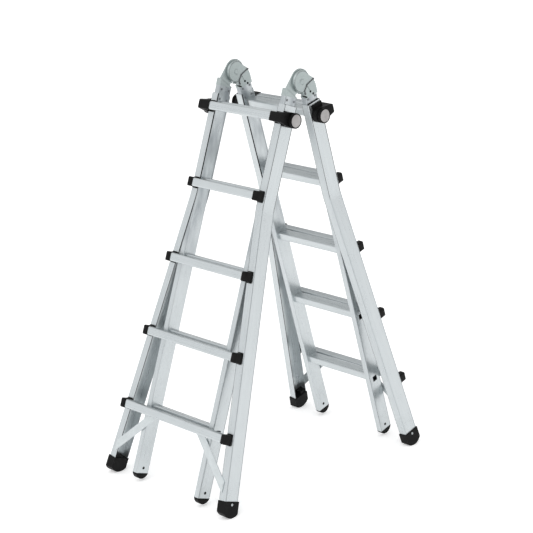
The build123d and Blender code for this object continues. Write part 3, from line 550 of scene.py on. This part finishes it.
def cap_buttons(half):
    """Buttons on the end caps' plugs that snap into the holes near the inner stiles' ends."""
    form = bmesh.new()
    for side in SIDES:
        low, high = extent(f"{half}_inner_stile_{side}")
        for face, outward in ((low.x, -1), (high.x, 1)):
            centre = LOCAL[half] @ Vector((face, STILE_CENTRE, BUTTON_LEVEL))
            lathe(form, centre, (outward, 0, 0), BUTTON_SHAPE, 32)
    name = f"{half}_cap_buttons"
    settle(name, finished(form, name), BLACK, BODY_OF[f"{half}_inner_end_caps"], angle=40)


PAD_OUTLINE = [(x * MM, n * MM) for x, n in (
    (180.2, -28.5), (175.8, -28.5), (175.8, -23.4), (177.2, -23.4), (177.2, -12.6), (175.8, -12.6),
    (175.8, 12.6), (177.2, 12.6), (177.2, 23.4), (175.8, 23.4), (175.8, 28.5), (180.2, 28.5))]
PAD_LID = (91.0 * MM, 91.95 * MM)
PAD_FROM_X = 176 * MM
PAD_ABOVE = 110 * MM


def pad_lids(half):
    """Lids on the glide pads, notched to let the hinge rivets' heads pass."""
    form = bmesh.new()
    for sign in (-1, 1):
        rings = [ring(form, [LOCAL[half] @ Vector((sign * x, STILE_CENTRE + n, s))
                             for x, n in PAD_OUTLINE]) for s in PAD_LID]
        skin(form, rings)
    name = f"{half}_pad_lids"
    settle(name, finished(form, name), BLACK, BODY_OF[f"{half}_guide_strips"], angle=40)


def guide_strips(half):
    """The glides: black pads; the beads on the lips towards -Y are black as painted shade of the crevice between
    flange lip and inner stile, and metal-coloured ones beyond.
    """
    node = f"{half}_guide_strips"
    piece = softened(node, 0.2 * MM)
    facing = 1 if half == "front" else -1
    inverse = LOCAL[half].inverted()
    mesh = piece.data
    mesh.materials.append(STILE[half])
    # The black on the beads towards -Y is painted shade.
    for face in mesh.polygons:
        x, n, s = inverse @ face.center
        pad = abs(x) > PAD_FROM_X and s < PAD_ABOVE
        face.material_index = int(not pad and (n - STILE_CENTRE) * facing < 0)


# Rounding in mm of each kind of part. "foot" also matches the foot screws, so those are made twice.
SOFT_PARTS = {"lock_housing": 1.8, "foot": 2.2, "inner_end_caps": 1.6, "brace_strap": 0.5,
              "hinge_arm": 0.35, "hinge_pin": 0.5, "release_lever": 0.4, "hinge_rivets": 0.8,
              "foot_screws": 0.6, "brace_rivets": 0.5, "lock_bolt": 0.5, "fold_buffers": 0.8}


def soften_parts():
    """Replaces every part named above by its rounded form."""
    for node in sorted(frame["nodes"]):
        for kind, width in SOFT_PARTS.items():
            if kind in node:
                softened(node, width * MM)


for half in HALVES:
    rung_caps(half)
    guide_strips(half)
    pad_lids(half)
    cap_buttons(half)
    for side in SIDES:
        knob(half, side)
soften_parts()
for side in SIDES:
    hole_shade_plugs(side)


# ---------------------------------------------------------------- floor, light and camera

def plain(name, colour, rough, glow):
    """An even matt colour that glows a little."""
    shader = Shader(name)
    clouds = shader.noise(shader.place(), 0.6, 2)
    shader.surface.inputs["Emission Color"].default_value = (1, 1, 1, 1)
    shader.surface.inputs["Emission Strength"].default_value = glow
    return shader.finish(shader.tint(clouds, colour, colour), rough, shader.bump(clouds, 0.0001))


def floor():
    size = 60
    mesh = bpy.data.meshes.new("floor")
    corners = [(-size, -size, 0), (size, -size, 0), (size, size, 0), (-size, size, 0)]
    mesh.from_pydata([Vector(c) for c in corners], [], [(0, 1, 2, 3)])
    piece = bpy.data.objects.new("floor", mesh)
    bpy.context.scene.collection.objects.link(piece)
    mesh.materials.append(plain("floor_white", (0.93, 0.93, 0.93), 0.9, glow=0.35))


SKY_STRENGTH = 0.75
GLOW_TOWARDS = (-0.68, -0.70, 0.18)
GLOW_STRENGTH = 0.36
GLOW_TIGHTNESS = 3.0


def sky():
    """A bright dome, a little darker towards the horizon and brighter towards the front left."""
    world = bpy.data.worlds.new("studio")
    bpy.context.scene.world = world
    world.use_nodes = True
    nodes, links = world.node_tree.nodes, world.node_tree.links
    spot = nodes.new("ShaderNodeTexCoord").outputs["Generated"]
    split = nodes.new("ShaderNodeSeparateXYZ")
    links.new(spot, split.inputs[0])
    ramp = nodes.new("ShaderNodeValToRGB")
    links.new(split.outputs["Z"], ramp.inputs["Fac"])
    horizon, top = ramp.color_ramp.elements
    horizon.position, horizon.color = 0.0, (0.90, 0.91, 0.92, 1)
    top.position, top.color = 0.6, (1.0, 1.0, 1.0, 1)
    towards = nodes.new("ShaderNodeVectorMath")
    towards.operation = "DOT_PRODUCT"
    links.new(spot, towards.inputs[0])
    towards.inputs[1].default_value = GLOW_TOWARDS
    lobe = nodes.new("ShaderNodeMath")
    lobe.operation = "POWER"
    lobe.use_clamp = True
    links.new(towards.outputs["Value"], lobe.inputs[0])
    lobe.inputs[1].default_value = GLOW_TIGHTNESS
    strength = nodes.new("ShaderNodeMath")
    strength.operation = "MULTIPLY_ADD"
    links.new(lobe.outputs[0], strength.inputs[0])
    strength.inputs[1].default_value = GLOW_STRENGTH
    strength.inputs[2].default_value = SKY_STRENGTH
    background = nodes["Background"]
    links.new(ramp.outputs["Color"], background.inputs["Color"])
    links.new(strength.outputs[0], background.inputs["Strength"])


def sun(name, direction, power, spread):
    light = bpy.data.lights.new(name, "SUN")
    light.energy = power
    light.angle = radians(spread)
    lamp = bpy.data.objects.new(name, light)
    lamp.rotation_euler = Vector(direction).to_track_quat("-Z", "Y").to_euler()
    bpy.context.scene.collection.objects.link(lamp)


CAMERA_FROM_HINGE = (4.1564, -4.1520, 0.9172)
CAMERA_PAN = 45.01
CAMERA_DIP = 15.39
CAMERA_ROLL = -0.12
FOCAL_LENGTH = 112.61


def camera():
    lens = bpy.data.cameras.new("camera")
    lens.sensor_width = 36.0
    lens.lens = FOCAL_LENGTH
    view = bpy.data.objects.new("camera", lens)
    place = Matrix.Translation(hinge + Vector(CAMERA_FROM_HINGE))
    look = (Matrix.Rotation(radians(CAMERA_PAN), 4, "Z")
            @ Matrix.Rotation(radians(90 - CAMERA_DIP), 4, "X")
            @ Matrix.Rotation(radians(CAMERA_ROLL), 4, "Z"))
    view.matrix_world = place @ look
    bpy.context.scene.collection.objects.link(view)
    bpy.context.scene.camera = view


floor()
sky()
sun("fill", (-0.2, 0.65, -0.7), 0.8, 50)
camera()
bpy.context.scene.view_settings.view_transform = "Standard"
